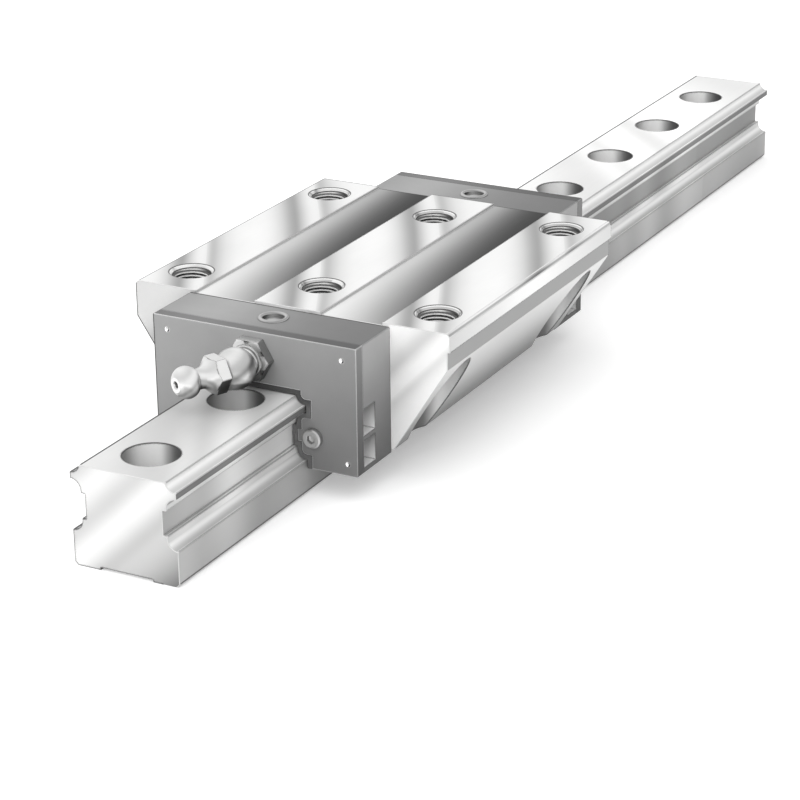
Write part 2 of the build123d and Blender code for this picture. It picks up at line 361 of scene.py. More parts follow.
class Graph:
    """A node tree of a material or the world, with a short way to add and join nodes."""

    def __init__(self, owner):
        self.owner = owner
        owner.use_nodes = True
        self.tree = owner.node_tree
        self.shader = self.tree.nodes.get("Principled BSDF")
        self.place = None

    def add(self, kind, **inputs):
        """A new node. Inputs named with spaces as underscores take numbers or other nodes' outputs."""
        node = self.tree.nodes.new(kind)
        for name, value in inputs.items():
            self.feed(node.inputs[name.replace("_", " ")], value)
        return node

    def feed(self, socket, value):
        """Set a socket to a number, or join it to an output."""
        if isinstance(value, bpy.types.NodeSocket):
            self.tree.links.new(value, socket)
        else:
            socket.default_value = value

    def math(self, operation, first, second=0.0, third=0.0):
        """One step of arithmetic."""
        node = self.tree.nodes.new("ShaderNodeMath")
        node.operation = operation
        for socket, value in zip(node.inputs, (first, second, third)):
            self.feed(socket, value)
        return node.outputs[0]

    def times(self, first, second):
        """The product of two values."""
        return self.math("MULTIPLY", first, second)

    def minus(self, first, second):
        """The first value less the second."""
        return self.math("SUBTRACT", first, second)

    def scaled(self, value, factor, offset):
        """A value times a factor, plus an offset."""
        return self.math("MULTIPLY_ADD", value, factor, offset)

    def size(self, value):
        """A value without its sign."""
        return self.math("ABSOLUTE", value)

    def share(self, value, low, high):
        """How far a value has come from low to high, as a share of the way."""
        return self.math("DIVIDE", self.minus(value, low), high - low)

    def blend(self, factor, first, second):
        """From the first value to the second as the factor goes from 0 to 1."""
        node = self.tree.nodes.new("ShaderNodeMix")
        node.data_type = "FLOAT"
        self.feed(node.inputs[0], factor)
        self.feed(node.inputs[2], first)
        self.feed(node.inputs[3], second)
        return node.outputs[0]

    def step(self, value, low, high):
        """0 below low, 1 above high, and smooth between them. Low may be the larger."""
        node = self.tree.nodes.new("ShaderNodeMapRange")
        node.interpolation_type = "SMOOTHSTEP"
        self.feed(node.inputs["Value"], value)
        self.feed(node.inputs["From Min"], low)
        self.feed(node.inputs["From Max"], high)
        return node.outputs[0]

    def above(self, value, limit, soft=0.05):
        """1 where a value is over a limit, soft by so much to each side."""
        return self.step(value, limit - soft, limit + soft)

    def below(self, value, limit, soft=0.05):
        """1 where a value is under a limit, soft by so much to each side."""
        return self.step(value, limit + soft, limit - soft)

    def near(self, value, place, reach):
        """1 where a value is within reach of a place."""
        return self.below(self.size(self.minus(value, place)), reach)

    def either(self, *masks):
        """1 where any of the masks is 1."""
        total = masks[0]
        for mask in masks[1:]:
            total = self.math("MAXIMUM", total, mask)
        return total

    def both(self, *masks):
        """1 where all of the masks are 1."""
        total = masks[0]
        for mask in masks[1:]:
            total = self.times(total, mask)
        return total

    def dim(self, tone, mask, share):
        """Multiply a tone by a share where the mask is 1."""
        return self.times(tone, self.blend(mask, 1.0, share))

    def along(self, y, first, changes):
        """A share that starts as the first one and goes over to another between each pair of stations."""
        total = first
        for start, end, share in changes:
            total = self.blend(self.step(y, start, end), total, share)
        return total

    def ramp(self, factor, stops):
        """Tones along a factor, from (place, tone) pairs."""
        node = self.tree.nodes.new("ShaderNodeValToRGB")
        node.color_ramp.interpolation = "B_SPLINE"
        elements = node.color_ramp.elements
        while len(elements) < len(stops):
            elements.new(0.5)
        for element, (position, tone) in zip(elements, stops):
            element.position = position
            element.color = (tone, tone, tone, 1)
        self.feed(node.inputs[0], factor)
        return node.outputs[0]

    def where(self):
        """X, Y and Z on the surface in millimetres, and the surface's direction there."""
        coordinates = self.add("ShaderNodeTexCoord")
        scaled = self.tree.nodes.new("ShaderNodeVectorMath")
        scaled.operation = "SCALE"
        self.feed(scaled.inputs[0], coordinates.outputs["Object"])
        scaled.inputs["Scale"].default_value = 1 / mm
        self.place = scaled.outputs[0]
        position = self.add("ShaderNodeSeparateXYZ", Vector=self.place)
        facing = self.add("ShaderNodeSeparateXYZ", Vector=coordinates.outputs["Normal"])
        return list(position.outputs), list(facing.outputs)

    def faces(self, facing):
        """Masks of the surfaces that face squarely to a side, to an end and up."""
        side = self.step(self.size(facing[0]), *squarely)
        end = self.step(self.size(facing[1]), *squarely)
        return side, end, self.step(facing[2], *squarely)

    def facing_place(self, facing, axis):
        """How far a surface faces along an axis, from 0, away from it, to 1, towards it."""
        total = 0.5
        for part, share in zip(facing, axis):
            total = self.scaled(part, share / 2, total)
        return total

    def grain(self, waves, stretch=(1, 1, 1), detail=4.0):
        """Noise between 0 and 1 with that many waves to the millimetre, stretched along some axes."""
        stretched = self.tree.nodes.new("ShaderNodeVectorMath")
        stretched.operation = "MULTIPLY"
        self.feed(stretched.inputs[0], self.place)
        stretched.inputs[1].default_value = stretch
        noise = self.add("ShaderNodeTexNoise", Vector=stretched.outputs[0], Scale=waves, Detail=detail)
        return noise.outputs["Fac"]

    def mottle(self, tone, noise, spread):
        """Vary a tone by noise, by that share of it in all."""
        return self.times(tone, self.scaled(noise, spread, 1 - spread / 2))

    def edge_lines(self, tone, width, share):
        """Multiply a tone by a share in a narrow line along every edge. The width is in millimetres."""
        rounded = self.add("ShaderNodeBevel", Radius=width * mm)
        rounded.samples = 6
        geometry = self.add("ShaderNodeNewGeometry")
        match = self.tree.nodes.new("ShaderNodeVectorMath")
        match.operation = "DOT_PRODUCT"
        self.feed(match.inputs[0], rounded.outputs[0])
        self.feed(match.inputs[1], geometry.outputs["Normal"])
        edge = self.step(match.outputs["Value"], *rounded_match)
        return self.dim(tone, edge, share)

    def relief(self, height, depth, distance):
        """Raise the surface by a height map. The distance is in millimetres."""
        bump = self.add("ShaderNodeBump", Height=height, Strength=depth, Distance=distance * mm)
        self.feed(self.shader.inputs["Normal"], bump.outputs[0])

    def colour(self, tone, tint):
        """Paint the base colour with a tone, tinted slightly."""
        mixed = self.tree.nodes.new("ShaderNodeCombineColor")
        for socket, share in zip(mixed.inputs, tint):
            self.feed(socket, self.times(tone, share))
        self.feed(self.shader.inputs["Base Color"], mixed.outputs[0])

    def finish(self, noise, spread, roughness, depth, distance):
        """Let the same noise vary the roughness upward and raise the surface."""
        self.feed(self.shader.inputs["Roughness"], self.scaled(noise, spread, roughness))
        self.relief(noise, depth, distance)

    def seen_ray(self):
        """1 for the rays that show the background: the camera's, and those that metal and glass send on."""
        path = self.add("ShaderNodeLightPath")
        kinds = ("Camera", "Glossy", "Transmission")
        return self.either(*[path.outputs[f"Is {kind} Ray"] for kind in kinds])


steel_tint = (1.0, 1.0, 0.995)
plastic_tint = (1.0, 1.0, 1.0)

# How squarely a surface faces an axis, as the lengths between which a mask goes from 0 to 1

squarely = (0.9, 0.97)
upright = (0.35, 0.25)
upward = (0.5, 0.9)
downward = (-0.3, -0.5)
not_sideways = (0.6, 0.4)
not_upward = (0.99, 0.97)
not_endways = (0.5, 0.3)
window_far_wall = (-0.9, -0.97)
rounded_match = (0.99, 0.95)

# The painted reflection bands across the pads and the rail: how they slant, fan out and lean on end faces

band_slant = 0.545
band_spread = -0.0022
band_lean = -1.04
pad_band_period = 28.5
rail_band_period = 52.0
rail_band_middle = -124.0

# Directions from which round surfaces get their painted light and shade

wall_axis = Vector((-0.88, -0.47, 0))
painted_sheen_axis = Vector((-0.35, -0.35, 0.87)).normalized()
groove_axis = (0, 0, 1)

# Tones from 0, black, to 1, white, mostly painted reflections, highlights and shade. Each pair in a list is
# a place along the way and the tone there

# Painted reflection bands across the carriage's pads, and across the rail's top
pad_painted_reflections = [
    (0.0, 0.82), (0.045, 0.42), (0.1, 0.58), (0.17, 0.76), (0.27, 0.88), (0.42, 0.92), (0.55, 0.9),
    (0.67, 0.68), (0.775, 0.22), (0.83, 0.46), (0.90, 0.8), (0.96, 0.88), (1.0, 0.82),
]
rail_painted_reflections = [
    (0.0, 0.76), (0.15, 0.74), (0.28, 0.62), (0.40, 0.58), (0.48, 0.80), (0.55, 0.56), (0.64, 1.0),
    (0.73, 0.56), (0.80, 0.70), (0.88, 1.0), (1.0, 0.78),
]
# Painted reflection stripes on the rail's end faces, with painted shade at the lower right corner
rail_end_painted_stripes = [
    (0.0, 0.56), (0.08, 0.64), (0.16, 0.88), (0.25, 0.80), (0.35, 0.50), (0.45, 0.98), (0.55, 0.74),
    (0.63, 0.46), (0.7, 0.64), (0.85, 0.46), (1.0, 0.10),
]
# Painted highlight and shade across the rail's ball grooves, by the way the surface faces
ball_groove_painted_light = [
    (0.0, 0.3), (0.45, 0.35), (0.62, 0.5), (0.76, 0.95), (0.84, 0.9), (0.93, 0.6), (1.0, 0.55),
]
# Painted light along the flange's sides, brightest halfway along
reference_face_painted_light = [(0.0, 0.55), (0.3, 0.8), (0.5, 0.9), (0.75, 0.75), (1.0, 0.6)]
under_step_tone = 0.30
# Painted shade on the slopes below the flange, deepening towards the foot
flange_slope_painted_shade = [(0.0, 0.12), (0.25, 0.28), (0.6, 0.62), (1.0, 0.78)]
# Painted light and shade round the walls of drilled holes and pockets
hole_painted_light = [
    (0.0, 0.2), (0.1, 0.5), (0.22, 0.9), (0.35, 1.0), (0.5, 1.0), (0.62, 1.0), (0.72, 0.5), (0.85, 0.12),
    (1.0, 0.02),
]
pocket_painted_light = [(0.0, 0.05), (0.25, 0.1), (0.38, 0.5), (0.5, 1.0), (0.68, 0.85), (0.8, 1.0), (1.0, 0.8)]
# Painted sheens: highlights and shade on the turned parts, by the way each surface faces
elbow_painted_sheen = [
    (0.0, 0.02), (0.15, 0.08), (0.3, 0.9), (0.4, 0.6), (0.5, 0.12), (0.6, 0.6), (0.75, 0.52), (0.88, 1.0),
    (1.0, 0.7),
]
nipple_painted_sheen = [
    (0.0, 0.02), (0.2, 0.1), (0.34, 0.7), (0.45, 0.2), (0.56, 0.85), (0.72, 1.0), (0.85, 0.6), (1.0, 1.0),
]
plug_painted_sheen = [(0.0, 0.05), (0.45, 0.15), (0.6, 1.0), (0.72, 0.4), (0.9, 0.7), (1.0, 1.0)]

# How the rail's painted end stripes run towards the painted shade at the lower right corner: across, up, and
# where they start

stripe_across = 0.516
stripe_up = -0.484
stripe_start = 0.742

# How the rail's painted light and shade change along it: a first share, then two stations and the share past
# them

far_top_painted_light = (0, 60, 1.3)
base_first = 0.66
base_changes = [(rail_low.y, rail_low.y + 50, 0.44), (0, 60, 0.58)]
waist_first = 0.64
waist_changes = [(rail_low.y, rail_low.y + 45, 1.15), (-20, 40, 0.42)]
head_share = 0.22

# How metallic, rough and glossy the steel is

pad_metallic = 0.7
dull_metallic = 0.15
pad_specular = 0.5
groove_specular = 0.05
carriage_roughness = 0.27
rail_metallic = 0.35
rail_roughness = 0.42

# The carriage's front face: a flatter copy of the painted reflection bands, with painted shade on the left
# and painted light on the right

front_contrast = 0.45
front_lift = 0.42
front_left = 0.86
front_right = 1.3
front_turn = 10

# The grooves between the pads: how their painted shade deepens across and towards the back

groove_front = 0.8
groove_curve = 1.6
groove_fan = 3.4
groove_fall = 0.7
centre_reach = 0.1

# The plastic's shares and tones on plates, windows and punch marks, with painted light on the window walls
# and marks and painted highlights along the front plate's edges, and the sealing lips' tones

plate_top_share = 0.5
plate_side_share = 0.55
plate_painted_highlight_share = 2.2
cap_line_share = 0.35
window_floor_tone = 0.75
lit_wall_from = 1.5
lit_wall_soft = 0.5
lit_wall_tone = 0.95
lit_wall_fall = -0.75
mark_lean = 0.65
mark_reach = 0.12
mark_lit = (-0.1, 0.3)
lip_side_tone = 0.11
lip_top_tone = 0.04
lip_grain = 0.03

# Edges and outlines: tones of the dark outlines and the painted edge highlights, widths and how far from a
# corner they count

dark_edge = 0.1
soft_edge = 0.5
groove_edge = 0.6
painted_edge_highlight = 0.9
edge_strength = 0.75
steel_line = 0.6
plastic_line = 0.4
turned_line_tone = 0.12
block_outline = 0.06
rail_base_outline = 0.04
rail_top_outline = 0.08
plastic_outline = 0.03
front_reach = 0.4
back_reach = 0.6
right_reach = 1.1
groove_edge_depth = 0.8
step_line_half = 0.35
bright_front_from = 20.0
rail_right_from = 8.0
rail_foot = 1.0
thin_line = 0.25
slope_line = 0.28
outline_width = 0.3
wide_line = 0.35
plate_left_line = 0.22

# How far masks stay clear of corners, and how soft they are

soft_reach = 0.1
wall_end_gap = 0.3
wall_top_gap = 0.6
groove_top_gap = 0.3
rail_wall_gap = 0.2
flank_soft = 0.2
shoulder_soft = 0.25
waist_gap = 0.05
waist_soft = 0.15


def band_place(graph, position, facing, period, middle):
    """Where a point lies across the painted reflection bands, from 0 to 1, with 0.5 at the middle station.
    """
    x, y, z = position
    slant = graph.scaled(x, band_spread, band_slant)
    across = graph.scaled(graph.minus(y, middle), slant, x)
    lean = graph.times(graph.times(z, band_lean), graph.size(facing[1]))
    place = graph.math("DIVIDE", graph.math("ADD", across, lean), period)
    return graph.math("FRACT", graph.math("ADD", place, 0.5))


def carriage_edge_share(graph, position):
    """How light the carriage body's edges are: dark outlines, and painted highlights along the front and
    right edges.
    """
    x, y, z = position
    front = graph.below(y, block_low.y + front_reach)
    top_or_right = graph.either(graph.above(z, block_high.z - back_reach), graph.above(x, bright_front_from))
    right = graph.both(graph.above(x, block_high.x - right_reach), graph.below(y, block_high.y - back_reach))
    step_line = graph.near(z, reference_step_height, step_line_half)
    bright_right = graph.both(right, graph.minus(1.0, step_line))
    left_groove = graph.near(x, -outer_pad_edge, front_reach)
    right_groove = graph.near(x, centre_pad_half, front_reach)
    top = graph.above(z, block_high.z - groove_edge_depth)
    in_grooves = graph.both(top, graph.either(left_groove, right_groove))
    bright = graph.either(graph.both(front, top_or_right), bright_right)
    share = graph.blend(bright, dark_edge, painted_edge_highlight)
    return graph.blend(in_grooves, share, groove_edge)


def rail_edge_share(graph, position):
    """How light the rail's edges are: dark outlines, a painted highlight along the front and softer lines on
    the right.
    """
    x, y, z = position
    on_right = graph.above(x, rail_right_from)
    front = graph.below(y, rail_low.y + front_reach)
    bright = graph.both(front, graph.either(graph.above(z, rail_high.z - front_reach), on_right))
    soft = graph.both(on_right, graph.above(z, rail_foot), graph.below(y, rail_high.y - back_reach))
    share = graph.blend(soft, dark_edge, soft_edge)
    return graph.blend(bright, share, painted_edge_highlight)


def edge_metal(name, edge_share):
    """The narrow bevels along a node's edges, with dark outlines and painted highlights."""
    graph = Graph(bpy.data.materials.new(name))
    position, _ = graph.where()
    graph.colour(graph.times(edge_share(graph, position), edge_strength), steel_tint)
    graph.finish(graph.grain(waves=5.0), spread=0.1, roughness=0.4, depth=0.08, distance=0.01)
    return graph.owner


def ground_finish(graph, tone, roughness, metallic, edge_share):
    """Fine grinding lines along the rail, faint clouding, dark outlines and painted highlights along the
    edges, and a steel sheen.
    """
    lines = graph.grain(waves=6.0, stretch=(1, 0.02, 1), detail=3.0)
    clouds = graph.grain(waves=0.12, stretch=(1, 0.5, 1), detail=2.0)
    edged = graph.edge_lines(tone, steel_line, edge_share)
    lined = graph.mottle(edged, lines, spread=0.08)
    graph.colour(graph.mottle(lined, clouds, spread=0.08), steel_tint)
    graph.feed(graph.shader.inputs["Metallic"], metallic)
    graph.finish(lines, spread=0.12, roughness=roughness, depth=0.12, distance=0.02)


def groove_painted_shade(graph, x, ahead):
    """The grooves between the pads, with painted shade that darkens towards their back right corner."""
    across = graph.share(graph.size(x), centre_pad_half, outer_pad_edge)
    on_right = graph.step(x, -centre_reach, centre_reach)
    from_left = graph.blend(on_right, graph.minus(1.0, across), across)
    from_left = graph.math("POWER", graph.math("MAXIMUM", from_left, 0.0), groove_curve)
    depth = graph.scaled(from_left, graph.scaled(ahead, groove_fan, 1.0), graph.times(ahead, groove_fall))
    return graph.times(graph.math("EXPONENT", graph.times(depth, -1.0)), groove_front)


def carriage_outline(graph, position, end, top, slope):
    """1 along the dark outlines round the left flange, along the back and along the foot."""
    x, y, z = position
    offset = left_slope.dot(Vector((block_low.x, slope_top)))
    from_slope = graph.scaled(x, left_slope.x, graph.scaled(z, left_slope.y, -offset))
    top_line = graph.either(
        graph.below(x, thin_line - flat_half),
        graph.above(y, block_high.y - wide_line),
    )
    end_line = graph.either(
        graph.below(x, block_low.x + thin_line),
        graph.below(from_slope, slope_line),
    )
    foot_line = graph.below(z, block_low.z + outline_width)
    return graph.either(graph.both(top, top_line), graph.both(end, end_line), graph.both(slope, foot_line))


def carriage_walls(graph, position, facing):
    """1 on the walls of the carriage body's drilled holes and pockets."""
    x, y, z = position
    return graph.both(
        graph.step(graph.size(facing[2]), *upright),
        graph.below(graph.size(x), flat_half - soft_reach, soft=soft_reach),
        graph.above(y, block_low.y + wall_end_gap, soft=soft_reach),
        graph.below(y, block_high.y - wall_end_gap, soft=soft_reach),
        graph.below(z, block_high.z - wall_top_gap),
    )


def carriage_steel():
    """The carriage body: ground pads with painted reflection bands, and painted light and shade in the
    grooves, on the sides, the slopes and the hole walls.
    """
    graph = Graph(bpy.data.materials.new("carriage steel"))
    position, facing = graph.where()
    x, y, z = position
    side, end, top = graph.faces(facing)
    ahead = graph.share(y, block_low.y, block_high.y)
    tone = graph.ramp(band_place(graph, position, facing, pad_band_period, carriage_middle), pad_painted_reflections)
    front_painted_light = graph.blend(graph.step(x, -front_turn, front_turn), front_left, front_right)
    tone = graph.blend(end, tone, graph.times(graph.scaled(tone, front_contrast, front_lift), front_painted_light))
    sunk = graph.below(z, block_high.z - groove_top_gap, soft=soft_reach)
    groove = graph.both(sunk, graph.step(facing[2], *upward))
    tone = graph.blend(groove, tone, groove_painted_shade(graph, x, ahead))
    # The flange's sides, with painted light along them and a darker band under the reference face on the
    # right
    under_step = graph.both(graph.below(z, reference_step_height), graph.above(x, 0.0))
    side_tone = graph.blend(under_step, graph.ramp(ahead, reference_face_painted_light), under_step_tone)
    tone = graph.blend(side, tone, side_tone)
    # The slopes below the flange, with painted shade that deepens towards the foot
    slope = graph.step(facing[2], *downward)
    tone = graph.blend(slope, tone, graph.ramp(graph.share(z, slope_foot, slope_top), flange_slope_painted_shade))
    tone = graph.blend(carriage_outline(graph, position, end, top, slope), tone, block_outline)
    # The drilled holes, and the pockets below the flange threads, with painted light and shade round their
    # walls
    wall = carriage_walls(graph, position, facing)
    in_pocket = graph.below(z, block_high.z - flange_thread_length - soft_reach, soft=soft_reach)
    round_wall = graph.facing_place(facing, wall_axis)
    hole_tone = graph.ramp(round_wall, hole_painted_light)
    pocket_tone = graph.ramp(round_wall, pocket_painted_light)
    tone = graph.blend(wall, tone, graph.blend(in_pocket, hole_tone, pocket_tone))
    metallic = graph.blend(graph.either(groove, end), pad_metallic, dull_metallic)
    metallic = graph.blend(wall, metallic, 0.0)
    graph.feed(graph.shader.inputs["Specular IOR Level"], graph.blend(groove, pad_specular, groove_specular))
    ground_finish(graph, tone, carriage_roughness, metallic, carriage_edge_share(graph, position))
    return graph.owner


def rail_sides(graph, tone, position, side):
    """Paint shade on the sides of the rail's base, head and waist, changing along the rail, and draw the
    line along its foot.
    """
    x, y, z = position
    outer = graph.both(side, graph.above(graph.size(x), rail_flank, soft=flank_soft))
    base = graph.both(outer, graph.below(z, rail_shoulder - shoulder_soft, soft=shoulder_soft))
    head = graph.both(outer, graph.above(z, rail_shoulder + shoulder_soft, soft=shoulder_soft))
    waist = graph.both(side, graph.below(graph.size(x), rail_waist - waist_gap, soft=waist_soft))
    tone = graph.dim(tone, base, graph.along(y, base_first, base_changes))
    tone = graph.blend(graph.both(base, graph.below(z, rail_foot_line)), tone, rail_base_outline)
    tone = graph.dim(tone, head, head_share)
    return graph.dim(tone, waist, graph.along(y, waist_first, waist_changes))


def rail_steel():
    """The rail: bright ground faces, painted reflection bands across the top, painted stripes on the ends
    and painted shade on the sides.
    """
    graph = Graph(bpy.data.materials.new("rail steel"))
    position, facing = graph.where()
    x, y, z = position
    half = graph.size(x)
    side, end, top = graph.faces(facing)
    tone = graph.ramp(band_place(graph, position, facing, rail_band_period, rail_band_middle), rail_painted_reflections)
    raised = graph.scaled(z, stripe_up / rail_size.z, stripe_start)
    corner = graph.scaled(x, stripe_across / rail_size.x, raised)
    tone = graph.blend(end, tone, graph.ramp(corner, rail_end_painted_stripes))
    # Painted light on the top, growing towards the far end
    tone = graph.dim(tone, top, graph.along(y, 1.0, [far_top_painted_light]))
    tone = rail_sides(graph, tone, position, side)
    # The ball grooves on the sides, with a painted highlight along the middle and painted shade on their
    # downward part
    groove = graph.both(
        graph.above(half, rail_waist + soft_reach, soft=soft_reach),
        graph.step(side, *not_sideways),
        graph.step(facing[2], *not_upward),
        graph.step(graph.size(facing[1]), *not_endways),
    )
    tone = graph.blend(groove, tone, graph.ramp(graph.facing_place(facing, groove_axis), ball_groove_painted_light))
    tone = graph.blend(graph.both(top, graph.below(x, rail_left_line)), tone, rail_top_outline)
    # The walls of the fixing holes, with painted light and shade round them
    wall = graph.both(
        graph.step(graph.size(facing[2]), *upright),
        graph.below(half, rail_counterbore + rail_wall_gap, soft=soft_reach),
        graph.below(graph.size(y), rail_high.y - rail_wall_gap, soft=soft_reach),
    )
    tone = graph.blend(wall, tone, graph.ramp(graph.facing_place(facing, wall_axis), hole_painted_light))
    metallic = graph.blend(wall, rail_metallic, 0.0)
    ground_finish(graph, tone, rail_roughness, metallic, rail_edge_share(graph, position))
    return graph.owner


def plastic_outlines(graph, position, side, end, top):
    """1 along the dark outlines of the caps and plates."""
    x, y, z = position
    top_line = graph.either(
        graph.below(x, plate_low.x + outline_width),
        graph.near(y, block_low.y, outline_width),
        graph.above(y, rear_plate_high.y - outline_width),
    )
    left_line = graph.below(x, plate_low.x + plate_left_line)
    foot_line = graph.below(z, plate_low.z + thin_line)
    return graph.either(graph.both(top, top_line), graph.both(end, left_line), graph.both(side, foot_line))


def moulded_grey(name, light, dark):
    """Grey moulded plastic, with painted light at the upper left and painted shade at the lower right."""
    graph = Graph(bpy.data.materials.new(name))
    position, facing = graph.where()
    x, y, z = position
    side, end, top = graph.faces(facing)
    face_stops = [(0.0, light), (0.35, light * 0.88), (0.7, dark * 1.35), (1.0, dark)]
    top_stops = [
        (0.0, light * 0.72), (0.2, light), (0.38, light * 0.8), (0.65, dark * 1.1), (1.0, dark * 0.8),
    ]
    side_stops = [(0.0, light * 1.2), (0.4, dark * 1.5), (1.0, dark * 0.3)]
    across = graph.scaled(x, 0.5 / plate_high.x, 0.5)
    down = graph.share(z, plate_high.z, plate_low.z)
    in_front = graph.below(y, plate_high.y)
    plate = graph.either(in_front, graph.above(y, rear_plate_low.y))
    tone = graph.ramp(graph.scaled(across, 0.5, graph.times(down, 0.5)), face_stops)
    top_tone = graph.dim(graph.ramp(across, top_stops), plate, plate_top_share)
    in_window = graph.below(z, plate_high.z - window_cover)
    tone = graph.blend(top, tone, graph.blend(in_window, top_tone, window_floor_tone))
    side_tone = graph.dim(graph.ramp(down, side_stops), plate, plate_side_share)
    tone = graph.blend(side, tone, side_tone)
    # The far walls of the side windows get painted light, fading towards the top of each window
    behind_plate = graph.above(y, plate_high.y + lit_wall_from, soft=lit_wall_soft)
    lit_wall = graph.both(graph.step(facing[1], *window_far_wall), behind_plate)
    foot = plate_low.z + window_foot
    level = graph.math("FRACT", graph.share(z, foot, foot + window_rise))
    tone = graph.blend(lit_wall, tone, graph.scaled(level, lit_wall_fall, lit_wall_tone))
    # Punch marks get painted light on one side and painted shade on the other
    mark = graph.both(graph.near(graph.size(facing[1]), mark_lean, mark_reach), plate)
    tone = graph.blend(mark, tone, graph.step(facing[0], *mark_lit))
    tone = graph.blend(plastic_outlines(graph, position, side, end, top), tone, plastic_outline)
    # Painted highlights along the front plate's edges, and darker lines elsewhere
    tone = graph.edge_lines(tone, plastic_line, graph.blend(in_front, cap_line_share, plate_painted_highlight_share))
    fine = graph.grain(waves=9.0)
    coarse = graph.grain(waves=0.25, detail=2.0)
    tone = graph.mottle(tone, fine, spread=0.10)
    graph.colour(graph.mottle(tone, coarse, spread=0.10), plastic_tint)
    graph.finish(fine, spread=0.15, roughness=0.5, depth=0.15, distance=0.02)
    return graph.owner


def plain_metal(name, tone, roughness, spread=0.06, waves=5.0, sheen=None, line=None, metallic=0.95):
    """Small turned parts: metal with faint marks, a little clouding, and a painted sheen of highlights and
    shade and edge lines if given.
    """
    graph = Graph(bpy.data.materials.new(name))
    _, facing = graph.where()
    marks = graph.grain(waves)
    clouds = graph.grain(waves=0.5, detail=2.0)
    shade = graph.scaled(marks, spread, tone - spread / 2)
    if sheen:
        shade = graph.times(shade, graph.ramp(graph.facing_place(facing, painted_sheen_axis), sheen))
    shade = graph.mottle(shade, clouds, spread=0.12)
    if line:
        shade = graph.edge_lines(shade, line, turned_line_tone)
    graph.colour(shade, steel_tint)
    graph.shader.inputs["Metallic"].default_value = metallic
    graph.finish(marks, spread=0.1, roughness=roughness, depth=0.08, distance=0.01)
    return graph.owner


def dark_rubber():
    """The sealing lips: dull black-grey with a fine grain."""
    graph = Graph(bpy.data.materials.new("seal rubber"))
    position, _ = graph.where()
    fine = graph.grain(waves=7.0)
    tone = graph.blend(graph.step(position[2], lip_sides, lip_top), lip_side_tone, lip_top_tone)
    graph.colour(graph.scaled(fine, lip_grain, tone), plastic_tint)
    graph.finish(fine, spread=0.15, roughness=0.55, depth=0.3, distance=0.02)
    return graph.owner


materials = {
    "carriage_steel": carriage_steel(),
    "rail_steel": rail_steel(),
    "cap_plastic": moulded_grey("cap plastic", light=0.37, dark=0.16),
    "seal_rubber": dark_rubber(),
    "port_plug": plain_metal(
        "port plug", tone=0.6, roughness=0.3, spread=0.05, sheen=plug_painted_sheen, line=0.15,
    ),
    "bright_metal": plain_metal(
        "bright metal", tone=0.92, roughness=0.26, waves=4.0, sheen=nipple_painted_sheen, line=0.3,
    ),
    "elbow_metal": plain_metal(
        "elbow metal", tone=0.92, roughness=0.26, waves=4.0, sheen=elbow_painted_sheen, line=0.3,
    ),
    "screw_steel": plain_metal("screw steel", tone=0.5, roughness=0.3, line=0.18),
    "cage_plastic": moulded_grey("cage plastic", light=0.30, dark=0.20),
    # Thread crests in a light tone, and thread flanks painted dark as shade between them
    "thread": plain_metal("thread crests", tone=1.0, roughness=0.35, metallic=0.1),
    "thread_flank_painted_shade": plain_metal("thread flanks", tone=0.1, roughness=0.5, spread=0.02, metallic=0.4),
    "rail_steel_edge": edge_metal("rail edges", rail_edge_share),
    "carriage_steel_edge": edge_metal("carriage edges", carriage_edge_share),
}


# Carried-over nodes

def keep_nodes():
    """Give the kept nodes their materials, and soften the edges of the rail and the carriage body."""
    kept = {"guide_rail": "rail_steel", "carriage_block": "carriage_steel"}
    for end in ("front", "rear"):
        kept[f"{end}_seal_lip"] = "seal_rubber"
        kept[f"{end}_end_cap"] = "cap_plastic"
        kept[f"{end}_end_plate"] = "cap_plastic"
    for side in ("left", "right"):
        kept[f"under_seal_{side}"] = "seal_rubber"
        for strip in ("top_cage", "side_cage", "inner_cage", "foot_strip"):
            kept[f"{strip}_{side}"] = "cage_plastic"
    for name, material in kept.items():
        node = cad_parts[name]
        node.data.materials.clear()
        node.data.materials.append(materials[material])
        edges = materials.get(f"{material}_edge")
        if edges:
            node.data.materials.append(edges)
            join_flat_faces(node)
            soften(node, machined_edge)


# Threads

def thread(name, x, y, length):
    """A helical thread ridge on the wall of one hole, fading in and out at its ends."""
    fade_steps = thread_steps // 2
    corners_round = len(thread_section)
    top = block_high.z - thread_top
    steps = int((length - thread_top - thread_pitch / 2) / thread_pitch * thread_steps)
    points, faces = [], []
    for i in range(steps + 1):
        angle = -2 * pi * i / thread_steps
        grown = min(1.0, i / fade_steps, (steps - i) / fade_steps)
        height = top - thread_pitch * i / thread_steps
        for depth, offset in thread_section:
            radius = thread_outer - depth * grown * (thread_outer - thread_core)
            points.append((x + radius * cos(angle), y + radius * sin(angle), height + offset * thread_pitch))
    for i in range(steps):
        low = corners_round * i
        high = low + corners_round
        for j in range(corners_round):
            k = (j + 1) % corners_round
            faces.append((low + j, low + k, high + k, high + j))
    faces.append(tuple(reversed(range(corners_round))))
    faces.append(tuple(corners_round * steps + j for j in range(corners_round)))
    piece = new_mesh(name, points, faces)
    piece.data.set_sharp_from_angle(angle=radians(sharp_angle))
    # The flanks carry painted shade; the crests get the light tone
    dress(piece, "carriage", "carriage_steel", materials["thread_flank_painted_shade"])
    piece.data.materials.append(materials["thread"])
    for i in range(steps):
        piece.data.polygons[corners_round * i + thread_crest].material_index = 1


def threads():
    """The ridges in the four flange holes and the two centre holes."""
    for end, step in (("front", -1), ("rear", 1)):
        for side, across in (("left", -1), ("right", 1)):
            y = carriage_middle + step * flange_hole_along
            thread(f"thread_{end}_{side}", across * flange_hole_across, y, flange_thread_length)
        y = carriage_middle + step * centre_hole_along
        thread(f"thread_{end}_middle", 0, y, centre_thread_length)


# Port plugs

